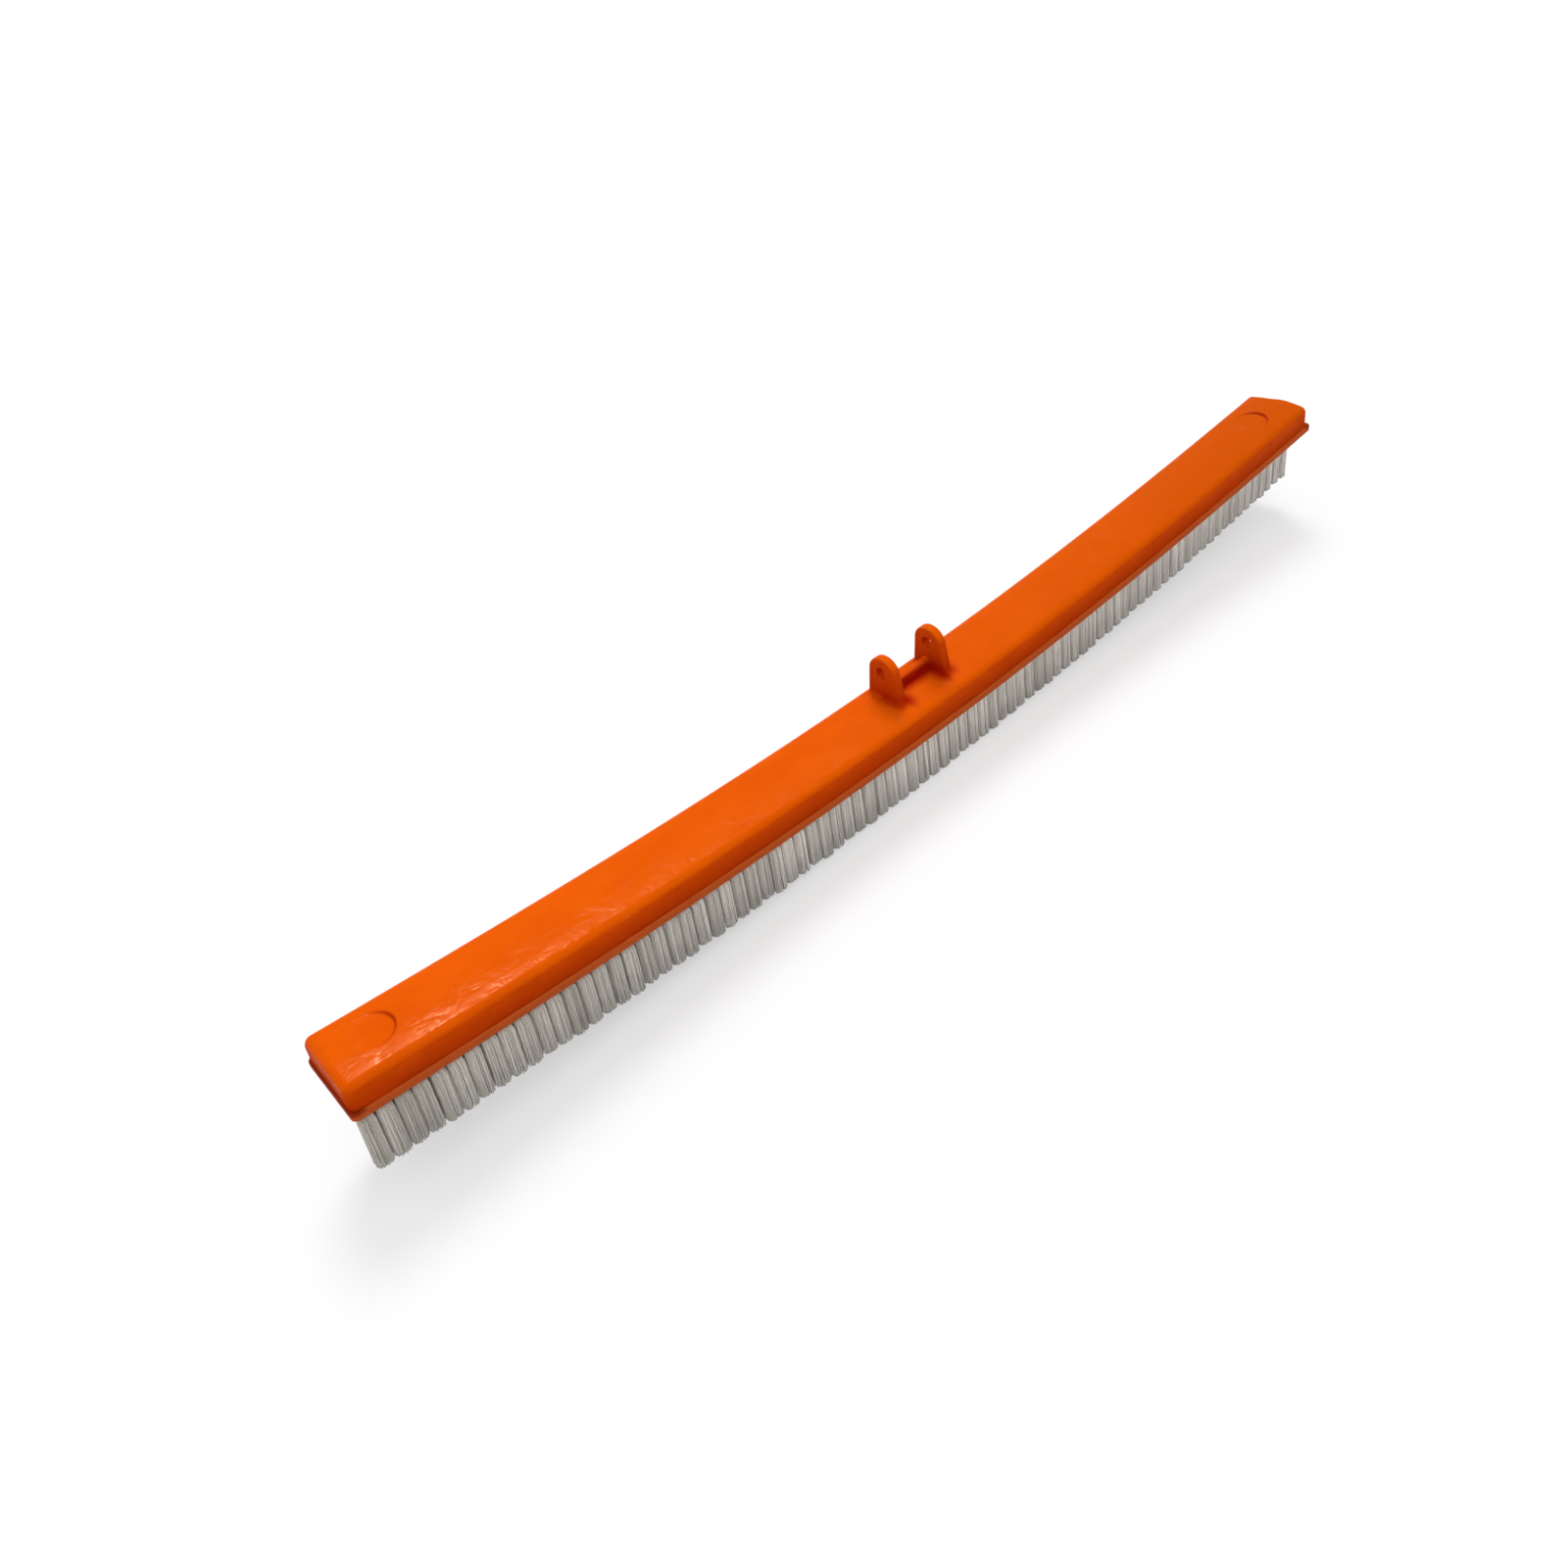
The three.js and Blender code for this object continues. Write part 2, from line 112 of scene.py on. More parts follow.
# Skin of a distance field on a grid: one vertex in each cell that the surface crosses, one quad
# round each grid edge that it crosses, then every vertex slides onto the surface.
def skinOf(field, lines):
    value = field(*np.meshgrid(*lines, indexing="ij"))
    inside = value < 0
    cells = tuple(len(line) - 1 for line in lines)
    total = np.zeros(cells + (3,))
    count = np.zeros(cells)

    def corner(array, offset):
        return array[tuple(slice(o, o + n) for o, n in zip(offset, cells))]

    def along(axis, offset):
        shape = [1, 1, 1]
        shape[axis] = cells[axis]
        return lines[axis][offset:offset + cells[axis]].reshape(shape)

    for axis in range(3):
        for j in (0, 1):
            for k in (0, 1):
                low = [0, 0, 0]
                low[(axis + 1) % 3] = j
                low[(axis + 2) % 3] = k
                high = list(low)
                high[axis] = 1
                va, vb = corner(value, low), corner(value, high)
                crossed = corner(inside, low) != corner(inside, high)
                share = np.where(crossed, va / np.where(crossed, va - vb, 1), 0)
                for other in range(3):
                    place = along(other, low[other])
                    if other == axis:
                        place = place + share * (along(axis, 1) - along(axis, 0))
                    total[..., other] += np.where(crossed, place, 0)
                count += crossed

    used = count > 0
    index = np.full(cells, -1)
    index[used] = np.arange(used.sum())
    points = total[used] / count[used][:, None]

    faces = []
    for axis in range(3):
        b, c = (axis + 1) % 3, (axis + 2) % 3
        start = [slice(1, -1)] * 3
        start[axis] = slice(0, -1)
        end = [slice(1, -1)] * 3
        end[axis] = slice(1, None)
        va, vb = inside[tuple(start)], inside[tuple(end)]
        quads = []
        for jb, jc in ((0, 0), (1, 0), (1, 1), (0, 1)):
            part = [slice(None)] * 3
            part[b] = slice(jb, jb + cells[b] - 1)
            part[c] = slice(jc, jc + cells[c] - 1)
            quads.append(index[tuple(part)])
        quads = np.stack(quads, axis=-1)
        faces.append(quads[va & ~vb])
        faces.append(quads[~va & vb][:, ::-1])
    return settle(points, field), np.concatenate(faces)


def settle(points, field, rounds=4, probe=0.02, reach=0.3, flattest=0.1):
    for _ in range(rounds):
        slope = np.stack([
            (field(*(points + probe * e).T) - field(*(points - probe * e).T)) / (2 * probe)
            for e in np.eye(3)], axis=1)
        move = field(*points.T) / np.maximum((slope ** 2).sum(axis=1), flattest)
        points = points - slope * np.clip(move, -reach, reach)[:, None]
    return points


# faceSets has one array for each size of face. The piece takes the place of the CAD nodes.
def addPiece(name, points, faceSets, material, slotName, *nodes):
    mesh = bpy.data.meshes.new(name)
    loops = np.concatenate([faces.ravel() for faces in faceSets])
    sizes = np.concatenate([np.full(len(faces), faces.shape[1]) for faces in faceSets])
    mesh.vertices.add(len(points))
    mesh.vertices.foreach_set("co", points.astype(np.float32).ravel())
    mesh.loops.add(len(loops))
    mesh.loops.foreach_set("vertex_index", loops.astype(np.int32))
    mesh.polygons.add(len(sizes))
    mesh.polygons.foreach_set("loop_start", (np.cumsum(sizes) - sizes).astype(np.int32))
    mesh.polygons.foreach_set("use_smooth", np.ones(len(sizes), dtype=bool))
    mesh.update(calc_edges=True)
    mesh.materials.append(material)
    piece = bpy.data.objects.new(name, mesh)
    bpy.context.scene.collection.objects.link(piece)
    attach(piece, "root")
    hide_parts(*nodes)
    print("piece", name, len(mesh.polygons), "faces")
    return piece


def addMask(piece, name, values):        # one number for each point, read by the material
    attribute = piece.data.attributes.new(name, "FLOAT", "POINT")
    attribute.data.foreach_set("value", values.astype(np.float32))


# Node groups shared by the materials.
def newGroup(name, inputs, outputs):
    group = bpy.data.node_groups.new(name, "ShaderNodeTree")
    for socketName, default in inputs:
        socket = group.interface.new_socket(socketName, in_out="INPUT", socket_type="NodeSocketFloat")
        socket.default_value = default
    for socketName in outputs:
        group.interface.new_socket(socketName, in_out="OUTPUT", socket_type="NodeSocketFloat")
    return group, group.nodes.new("NodeGroupInput"), group.nodes.new("NodeGroupOutput")


def feed(tree, socket, value):        # a number stays on the socket, anything else is linked to it
    if isinstance(value, (int, float)):
        socket.default_value = value
    else:
        tree.links.new(value, socket)


def noiseNode(tree, coordinate, scale, detail=2.0, roughness=0.5, distortion=0.0):
    noise = tree.nodes.new("ShaderNodeTexNoise")
    noise.inputs["Detail"].default_value = detail
    noise.inputs["Roughness"].default_value = roughness
    noise.inputs["Distortion"].default_value = distortion
    feed(tree, noise.inputs["Scale"], scale)
    tree.links.new(coordinate, noise.inputs["Vector"])
    return noise.outputs[0]


def rangeNode(tree, value, fromLow, fromHigh, toLow=0.0, toHigh=1.0):
    remap = tree.nodes.new("ShaderNodeMapRange")
    remap.interpolation_type = "SMOOTHSTEP"
    sockets = ("Value", "From Min", "From Max", "To Min", "To Max")
    for socket, number in zip(sockets, (value, fromLow, fromHigh, toLow, toHigh)):
        feed(tree, remap.inputs[socket], number)
    return remap.outputs["Result"]


def mathNode(tree, operation, *values):
    node = tree.nodes.new("ShaderNodeMath")
    node.operation = operation
    for socket, value in zip(node.inputs, values):
        feed(tree, socket, value)
    return node.outputs[0]


def mixColour(tree, factor, first, second):
    mix = tree.nodes.new("ShaderNodeMix")
    mix.data_type = "RGBA"
    tree.links.new(factor, mix.inputs["Factor"])
    for socket, colour in zip((mix.inputs[6], mix.inputs[7]), (first, second)):
        if isinstance(colour, tuple):
            socket.default_value = colour + (1.0,)
        else:
            tree.links.new(colour, socket)
    return mix.outputs[2]


def maskNode(tree, name):
    attribute = tree.nodes.new("ShaderNodeAttribute")
    attribute.attribute_name = name
    return attribute.outputs["Fac"]


def objectPoint(tree, stretch=(1, 1, 1)):
    place = tree.nodes.new("ShaderNodeTexCoord")
    mapping = tree.nodes.new("ShaderNodeMapping")
    mapping.inputs["Scale"].default_value = stretch
    tree.links.new(place.outputs["Object"], mapping.inputs["Vector"])
    return mapping.outputs["Vector"]


# Cloudy tone of moulded plastic, the flow marks in it and the fine height of its skin.
def makeMouldSkin():
    inputs = [("Cloud Scale", 38.0), ("Flow Scale", 150.0), ("Skin Scale", 1500.0)]
    group, start, end = newGroup("mouldSkin", inputs, ["Clouds", "Flow", "Skin"])
    along = objectPoint(group, stretch=(0.6, 1, 1))
    clouds = noiseNode(group, along, start.outputs["Cloud Scale"], detail=3, roughness=0.55)
    flow = noiseNode(group, along, start.outputs["Flow Scale"], distortion=0.6)
    skin = noiseNode(group, objectPoint(group), start.outputs["Skin Scale"], roughness=0.6)
    group.links.new(rangeNode(group, clouds, fromLow=0.3, fromHigh=0.7), end.inputs["Clouds"])
    group.links.new(rangeNode(group, flow, fromLow=0.2, fromHigh=0.8), end.inputs["Flow"])
    group.links.new(skin, end.inputs["Skin"])
    return group


# Rubbed edges, from the curvature of the surface and broken up by noise.
def makeEdgeRub():
    group, start, end = newGroup("edgeRub", [("Patch Scale", 260.0), ("Amount", 0.35)], ["Rub"])
    surface = group.nodes.new("ShaderNodeNewGeometry")
    sharp = rangeNode(group, surface.outputs["Pointiness"], fromLow=0.53, fromHigh=0.62)
    patches = noiseNode(group, objectPoint(group), start.outputs["Patch Scale"], detail=4, roughness=0.65)
    rubbed = mathNode(group, "MULTIPLY", sharp, rangeNode(group, patches, fromLow=0.42, fromHigh=0.66))
    group.links.new(mathNode(group, "MULTIPLY", rubbed, start.outputs["Amount"]), end.inputs["Rub"])
    return group


# Thin scuffs that run mostly along the back, in patches.
def makeScuffs():
    inputs = [("Streak Scale", 900.0), ("Patch Scale", 24.0), ("Amount", 0.3)]
    group, start, end = newGroup("scuffs", inputs, ["Scuff"])
    streak = noiseNode(group, objectPoint(group, stretch=(0.06, 1, 1)), start.outputs["Streak Scale"],
                       roughness=0.6, distortion=0.4)
    where = noiseNode(group, objectPoint(group), start.outputs["Patch Scale"])
    lines = mathNode(group, "MULTIPLY", rangeNode(group, streak, fromLow=0.66, fromHigh=0.74),
                     rangeNode(group, where, fromLow=0.5, fromHigh=0.62))
    group.links.new(mathNode(group, "MULTIPLY", lines, start.outputs["Amount"]), end.inputs["Scuff"])
    return group


# Fine lines drawn out along one direction of the piece, as in drawn filament or brushed metal,
# mixed with small patches.
def makeDrawnGrain():
    inputs = [("Line Scale", 1400.0), ("Patch Scale", 700.0), ("Patch Share", 0.3)]
    group, start, end = newGroup("drawnGrain", inputs, ["Grain", "Height"])
    lines = noiseNode(group, objectPoint(group, stretch=(1, 1, 0.05)), start.outputs["Line Scale"])
    patches = noiseNode(group, objectPoint(group), start.outputs["Patch Scale"], detail=4, roughness=0.6)
    lineShare = mathNode(group, "SUBTRACT", 1.0, start.outputs["Patch Share"])
    both = mathNode(group, "ADD", mathNode(group, "MULTIPLY", patches, start.outputs["Patch Share"]),
                    mathNode(group, "MULTIPLY", lines, lineShare))
    group.links.new(rangeNode(group, both, fromLow=0.3, fromHigh=0.7), end.inputs["Grain"])
    group.links.new(lines, end.inputs["Height"])
    return group


mouldSkin = makeMouldSkin()
edgeRub = makeEdgeRub()
scuffs = makeScuffs()
drawnGrain = makeDrawnGrain()


def useGroup(tree, group, **values):        # values for the group's inputs, named without their spaces
    node = tree.nodes.new("ShaderNodeGroup")
    node.node_tree = group
    for socket in node.inputs:
        key = socket.name.replace(" ", "")
        if key in values:
            socket.default_value = values[key]
    return node.outputs


def newMaterial(name):
    material = bpy.data.materials.new(name)
    material.use_nodes = True
    return material, material.node_tree, material.node_tree.nodes["Principled BSDF"]


def addBump(tree, shader, height, strength, distance):
    bump = tree.nodes.new("ShaderNodeBump")
    bump.inputs["Strength"].default_value = strength
    bump.inputs["Distance"].default_value = distance
    tree.links.new(height, bump.inputs["Height"])
    tree.links.new(bump.outputs["Normal"], shader.inputs["Normal"])


# Moulded plastic. Its flanks are painted darker and redder than its roof, as painted shade on the sides.
# Masks that come with the mesh paint more shade: down the walls and ears, towards the far end, and in corners.
plastic = {
    "deepMost": 0.5, "smoother": 0.06, "rougher": 0.08, "wornRough": 0.25, "bump": 1.0, "bumpDepth": 0.0004,
}


def makePlastic(name, settings):
    material, tree, shader = newMaterial(name)
    skin = useGroup(tree, mouldSkin, CloudScale=settings["cloudScale"], FlowScale=settings["flowScale"],
                    SkinScale=settings["skinScale"])
    rub = useGroup(tree, edgeRub, PatchScale=settings["rubScale"], Amount=settings["rubShare"])["Rub"]
    scuff = useGroup(tree, scuffs, StreakScale=settings["streakScale"], PatchScale=settings["scuffPatch"],
                     Amount=settings["scuffShare"])["Scuff"]
    surface = tree.nodes.new("ShaderNodeNewGeometry")
    parts = tree.nodes.new("ShaderNodeSeparateXYZ")
    tree.links.new(surface.outputs["Normal"], parts.inputs[0])
    # Painted shade: surfaces that face away from up take the darker, redder flank colours
    upward = rangeNode(tree, parts.outputs["Z"], settings["flankBelow"], settings["roofAbove"])
    roof = mixColour(tree, skin["Clouds"], settings["roofDeep"], settings["roof"])
    # Painted shade, darker towards the far end of the roof
    roof = mixColour(tree, maskNode(tree, "farEndShade"), roof, settings["roofFar"])
    # Painted shade: darker down the walls and down the ears
    drop = maskNode(tree, "paintedWallShade")
    flank = mixColour(tree, drop, settings["flank"], settings["flankFoot"])
    deep = rangeNode(tree, skin["Flow"], 0, 1, toHigh=plastic["deepMost"])
    flank = mixColour(tree, deep, flank, settings["flankDeep"])
    colour = mixColour(tree, upward, flank, roof)
    # Painted shade in corners, on recess walls, in the pin holes and at the lip's ends
    colour = mixColour(tree, maskNode(tree, "nook"), colour, settings["nook"])
    worn = mathNode(tree, "MAXIMUM", rub, scuff)
    tree.links.new(mixColour(tree, worn, colour, settings["worn"]), shader.inputs["Base Color"])
    rough = rangeNode(tree, skin["Flow"], 0, 1, settings["rough"] - plastic["smoother"],
                      settings["rough"] + plastic["rougher"])
    rough = mathNode(tree, "ADD", rough, mathNode(tree, "MULTIPLY", worn, plastic["wornRough"]))
    rough = mathNode(tree, "ADD", rough, mathNode(tree, "MULTIPLY", drop, settings["wallRough"]))
    tree.links.new(rough, shader.inputs["Roughness"])
    shader.inputs["Specular IOR Level"].default_value = settings["gloss"]
    shader.inputs["Specular Tint"].default_value = settings["glossTint"] + (1.0,)
    height = mathNode(tree, "ADD", mathNode(tree, "MULTIPLY", skin["Flow"], settings["flowHeight"]),
                      mathNode(tree, "MULTIPLY", skin["Skin"], settings["skinHeight"]))
    addBump(tree, shader, height, plastic["bump"], plastic["bumpDepth"])
    return material


# Back shell: crowned body, a shallow round recess near each end, two ears and their web.
shell = {
    "halfWidth": 22.5, "height": 14.0, "cornerRadius": 4.0, "crown": 2.7, "foot": 0.5,
    "backEdge": 6.0, "frontEdgeNear": 4.1, "frontEdgeFar": 3.4, "edgeChange": 6.0,
    "leftRecess": -349.0, "rightRecess": 339.5, "recessRadius": 10.9, "recessDepth": 1.6, "recessEdge": 0.8,
    "recessTilt": 0.6, "tiltAlong": 0.93, "tiltAcross": -0.36,
    "earAt": 18.9, "earHalf": 2.9, "earEdge": 1.1, "earY": 3.6, "earTop": 10.0, "earBase": 12.25,
    "earFoot": 2.0, "footBefore": 3.5, "footAfter": 0.5, "frontFootDrop": 0.6, "rearFootDrop": 1.85,
    "holeHeight": 16.4, "holeRadius": 3.85, "holeEdge": 0.2, "faceFillet": 1.0,
    "webY": 5.8, "webHalf": 2.75, "webHeight": 5.3, "webEdge": 1.5, "rootDepth": 8.0,
    "xGrid": (-377, (-334, 0.6), (-29, 3.6), (26, 0.55), (331, 3.6), (374, 0.6)),
    "yGrid": (-23.2, (23.2, 0.6)),
    "hGrid": (-14.8, (-12.5, 0.5), (-6.5, 1.5), (10, 0.5), (30.4, 0.6)),
    # Painted shade colours: a darker roof towards the far end, darker and redder sides and ears (darkest at the
    # foot), and a dark red for corners, recess walls and pin holes
    "roof": (0.80, 0.107, 0.001), "roofDeep": (0.75, 0.094, 0.001), "roofFar": (0.64, 0.087, 0.001),
    "roofAbove": 0.7,
    "flank": (0.66, 0.072, 0.001), "flankFoot": (0.37, 0.026, 0.001), "flankDeep": (0.48, 0.041, 0.001),
    "flankBelow": 0.15,
    "worn": (0.92, 0.24, 0.05), "rough": 0.23, "wallRough": 0.6, "gloss": 0.006, "glossTint": (1.0, 0.5, 0.22),
    "nook": (0.40, 0.008, 0.001), "nookReach": 6.5, "reachBetween": 0.5, "nookRound": 0.3,
    "nookAhead": 0.45, "nookBetween": 0.3, "behindWeb": 2.0, "aheadOfWeb": 3.0, "besideEar": 4.0,
    "holeShade": 0.5, "holeShadeWidth": 0.5, "rimShade": 0.55, "rimFull": 0.3, "rimNone": 1.3,
    # Painted shade down the ears, and towards the far end of the roof
    "handleFrom": 0.5, "handleFull": 3.0, "handleDrop": 0.75, "handleLift": 0.6,
    "farFrom": -60.0, "farFull": 400.0,
    "cloudScale": 38.0, "flowScale": 120.0, "skinScale": 1500.0, "flowHeight": 0.8, "skinHeight": 0.06,
    "rubScale": 260.0, "rubShare": 0.35, "streakScale": 900.0, "scuffPatch": 24.0, "scuffShare": 0.25,
}


def earProfile(y, h):        # round top with two straight sides that spread to the foot
    u = np.abs(y - shell["earY"])
    v = h - shell["crown"] - shell["holeHeight"]
    drop = np.where(y < shell["earY"], shell["frontFootDrop"], shell["rearFootDrop"])
    climb = shell["holeHeight"] - shell["earFoot"] + drop
    lean = np.arccos(shell["earTop"] / np.hypot(shell["earBase"], climb)) - np.arctan2(climb, shell["earBase"])
    side = u * np.cos(lean) + v * np.sin(lean)
    above = v * np.cos(lean) - u * np.sin(lean) > 0
    return np.where(above, np.hypot(u, v), side) - shell["earTop"]


def recessLean(u, y, recessAt):        # 1 where the tilted floor of a recess is deepest, -1 opposite
    lean = shell["tiltAlong"] * (u - recessAt) + shell["tiltAcross"] * y
    return np.clip(lean / shell["recessRadius"], -1, 1)


def bodyField(x, y, h):
    u = x - brush["backShift"]
    roof = h - shell["crown"] * (1 - (y / shell["halfWidth"]) ** 2)
    plan = roundedPlan(u, y, brush["halfBack"], shell["halfWidth"], shell["cornerRadius"])
    run = np.clip(0.5 + u / (2 * brush["halfBack"]), 0, 1)
    frontEdge = blend(shell["frontEdgeNear"], shell["frontEdgeFar"], run)
    toBack = smoothStep(y, -shell["edgeChange"], shell["edgeChange"])
    body = roundMax(plan, roof, blend(frontEdge, shell["backEdge"], toBack))
    body = roundMax(body, -shell["height"] - h, shell["foot"])
    recessAt = np.where(u < 0, shell["leftRecess"], shell["rightRecess"])
    rim = np.hypot(u - recessAt, y) - shell["recessRadius"]
    depth = shell["recessDepth"] * (1 + shell["recessTilt"] * (recessLean(u, y, recessAt) - 1) / 2)
    floor = shell["crown"] - depth - h
    recess = roundMax(rim, floor, shell["recessEdge"])
    return roundMax(body, -recess, shell["recessEdge"])


def handleField(x, y, h):
    u = x - brush["backShift"]
    ears = roundMax(earProfile(y, h), np.abs(np.abs(u) - shell["earAt"]) - shell["earHalf"], shell["earEdge"])
    web = roundMax(np.abs(y - shell["webY"]) - shell["webHalf"],
                   h - shell["crown"] - shell["webHeight"], shell["webEdge"])
    web = np.maximum(web, np.abs(u) - shell["earAt"])
    return np.maximum(roundMin(ears, web, shell["faceFillet"]), -shell["rootDepth"] - h)


def fromHole(y, h):
    return np.hypot(y - shell["earY"], h - shell["crown"] - shell["holeHeight"]) - shell["holeRadius"]


def shellField(x, y, h):
    toFoot = smoothStep(np.abs(y - shell["earY"]), shell["earBase"] - shell["footBefore"],
                        shell["earBase"] + shell["footAfter"])
    fillet = blend(shell["faceFillet"], shell["earFoot"], toFoot)
    whole = roundMin(bodyField(x, y, h), handleField(x, y, h), fillet)
    return roundMax(whole, -fromHole(y, h), shell["holeEdge"])


# Painted shade in the corners where the ears and the web meet the roof, most of all in front of the web.
def cornerShade(x, y, h):
    away = np.maximum(bodyField(x, y, h), handleField(x, y, h))
    ahead = smoothStep(y, shell["webY"] + shell["behindWeb"], shell["webY"] - shell["aheadOfWeb"])
    between = smoothStep(np.abs(x - brush["backShift"]), shell["earAt"], shell["earAt"] - shell["besideEar"])
    share = shell["nookRound"] + ahead * (shell["nookAhead"] + shell["nookBetween"] * between)
    reach = shell["nookReach"] * (1 + shell["reachBetween"] * ahead * between)
    return (1 - smoothStep(away, 0, reach)) * share


# Painted shade on the deep side of each recess
def rimShade(x, y, h):        # the deep side of each recess
    shade = np.zeros(len(x))
    for recessAt in (shell["leftRecess"], shell["rightRecess"]):
        u = x - brush["backShift"]
        fromRim = np.abs(np.hypot(u - recessAt, y) - shell["recessRadius"])
        near = smoothStep(fromRim, shell["rimNone"], shell["rimFull"])
        shade = np.maximum(shade, shell["rimShade"] * near * recessLean(u, y, recessAt) * (h > 0))
    return shade


def makeShell():
    points, faces = skinOf(shellField, gridLines(shell))
    piece = addPiece("backShell", bend(points), [faces], makePlastic("mouldedOrangeBack", shell),
                     "shell_plastic", "back_shell")
    x, y, h = points.T
    # Painted shade: darker down the walls and down the ears, darker towards the far end, and in corners, recess
    # walls and pin holes
    aboveRoof = h - shell["crown"]
    onHandle = smoothStep(aboveRoof, shell["handleFrom"], shell["handleFull"])
    upHandle = aboveRoof / (shell["holeHeight"] + shell["earTop"])
    handleDrop = (shell["handleDrop"] - shell["handleLift"] * upHandle) * onHandle
    holeShade = shell["holeShade"] * smoothStep(fromHole(y, h), shell["holeShadeWidth"], 0)
    addMask(piece, "paintedWallShade", np.clip(-h / shell["height"], 0, 1) + handleDrop)
    addMask(piece, "farEndShade", smoothStep(x, shell["farFrom"], shell["farFull"]))
    addMask(piece, "nook", np.maximum(np.maximum(cornerShade(x, y, h), holeShade), rimShade(x, y, h)))


# Tuft block: the lip that shows under the shell, bored from below for the tufts and the screws.
block = {
    "halfLength": 376.0, "halfWidth": 23.3, "cornerRadius": 3.0, "edgeRadius": 1.2,
    "bottom": -19.3, "top": -14.3, "boreRadius": 2.4, "boreDepth": 1.6, "boreEdge": 0.3,
    "screwBore": 3.9, "screwDepth": 4.4,
    "xGrid": (-376.6, (-372.6, 0.35), (372.6, 1.4), (376.6, 0.35)),
    "yGrid": (-23.8, (-21.9, 0.35), (21.9, 1.25), (23.8, 0.35)),
    "hGrid": (-19.7, (-17.9, 0.35), (-15.6, 1.1), (-14.0, 0.35)),
    # Painted shade: the lip's sides take the darker flank colours, and the top edge at each end takes the dark
    # shade colour
    "roof": (0.66, 0.110, 0.015), "roofDeep": (0.60, 0.097, 0.013), "roofFar": (0.60, 0.097, 0.013),
    "roofAbove": 0.97,
    "nook": (0.24, 0.016, 0.004),
    "endShade": 0.85, "endFrom": 367.0, "endFull": 371.5, "belowTop": 2.2, "toTop": 0.9,
    "flank": (0.44, 0.080, 0.018), "flankFoot": (0.44, 0.080, 0.018), "flankDeep": (0.40, 0.066, 0.014),
    "flankBelow": 0.1,
    "worn": (0.90, 0.24, 0.07), "rough": 0.4, "wallRough": 0.0, "gloss": 0.008, "glossTint": (1.0, 0.55, 0.32),
    "cloudScale": 45.0, "flowScale": 190.0, "skinScale": 1700.0, "flowHeight": 0.3, "skinHeight": 0.06,
    "rubScale": 300.0, "rubShare": 0.3, "streakScale": 1000.0, "scuffPatch": 30.0, "scuffShare": 0.2,
}

# Tufts: five rows, every second one half a pitch later. Screws take seven places of the middle row.
tufts = {
    "rows": 5, "columns": 84, "pitch": 8.78, "rowSpacing": 8.4, "stagger": 4.39, "first": -370.5,
    "middleRow": 2, "screwColumns": (1, 15, 28, 42, 55, 69, 82), "banks": 4,
    "rootRadius": 2.5, "tipAlongNear": 4.3, "tipAlongFar": 3.85, "tipAcross": 4.2, "length": 31.8, "sunk": 1.2,
    "filaments": 132, "corners": 3, "thick": 0.62, "thickTip": 0.56,
    "ringAt": (0, 0.13, 1), "spreadAt": (0, 0.84, 1),
    "spiralTurn": 137.508, "roundness": 0.76, "packing": 0.42,
    "leanAlong": 0.07, "leanAcross": 0.25, "leanMost": 1.5, "stray": 0.1, "sweep": 6.0,
    "endLean": 6.0, "endReach": 14.0, "endFront": -17.0, "endBack": 12.0,
    "trim": 0.35, "tuftTrim": 0.5, "waveTrim": 1.4, "waveMiddle": 0.5,
    "waves": ((0.3, 5.3, 9.0, 0.0), (0.2, 3.1, 5.0, 1.3)),
    # Painted light and shade in the filaments' tone: paler towards the right end, darker in the inner rows
    "toneNear": 0.18, "toneFar": 1.3, "insideNear": 0.35, "insideFar": 0.55, "insideRows": 1.5,
    "strandTone": 0.1, "tuftTone": 0.12, "seed": 7,
}


def tuftPlace(column, row):
    x = tufts["first"] + column * tufts["pitch"] + (row % 2) * tufts["stagger"]
    return x, (row - tufts["middleRow"]) * tufts["rowSpacing"]


def holdsScrew(column, row):
    return (row == tufts["middleRow"]) & np.isin(column, tufts["screwColumns"])


def blockField(x, y, h):
    plan = roundedPlan(x, y, block["halfLength"], block["halfWidth"], block["cornerRadius"])
    body = roundMax(plan, h - block["top"], block["edgeRadius"])
    body = roundMax(body, block["bottom"] - h, block["edgeRadius"])
    row = np.clip(np.round(y / tufts["rowSpacing"]) + tufts["middleRow"], 0, tufts["rows"] - 1)
    start = tuftPlace(0, row)[0]
    column = np.clip(np.round((x - start) / tufts["pitch"]), 0, tufts["columns"] - 1)
    tuftX, tuftY = tuftPlace(column, row)
    away = np.hypot(x - tuftX, y - tuftY)
    screwed = holdsScrew(column, row)
    radius = np.where(screwed, block["screwBore"], block["boreRadius"])
    depth = np.where(screwed, block["screwDepth"], block["boreDepth"])
    bore = roundMax(away - radius, h - block["bottom"] - depth, block["boreEdge"])
    return roundMax(body, -bore, block["boreEdge"])


def makeBlock():
    points, faces = skinOf(blockField, gridLines(block))
    piece = addPiece("tuftBlock", bend(points), [faces], makePlastic("mouldedOrangeBlock", block),
                     "block_plastic", "tuft_block")
    x, _, h = points.T
    # Painted shade on the top edge at each end of the lip
    atEnds = smoothStep(np.abs(x), block["endFrom"], block["endFull"])
    atTop = smoothStep(h, block["top"] - block["belowTop"], block["top"] - block["toTop"])
    addMask(piece, "nook", block["endShade"] * atEnds * atTop)


# Nylon filaments, each with its own tone, and painted shade at their tips. The tone also carries painted light
# and shade.
nylon = {
    "pale": (0.99, 0.94, 0.87), "deep": (0.46, 0.42, 0.36), "cut": (0.34, 0.33, 0.31), "cutFrom": 0.95,
    "lineScale": 1400.0, "patchScale": 700.0, "patchShare": 0.2, "toneShare": 0.7, "grainShare": 0.3,
    "rough": 0.5, "smoother": 0.08, "rougher": 0.1, "sheen": 0.2, "bump": 0.3, "bumpDepth": 0.0001,
}


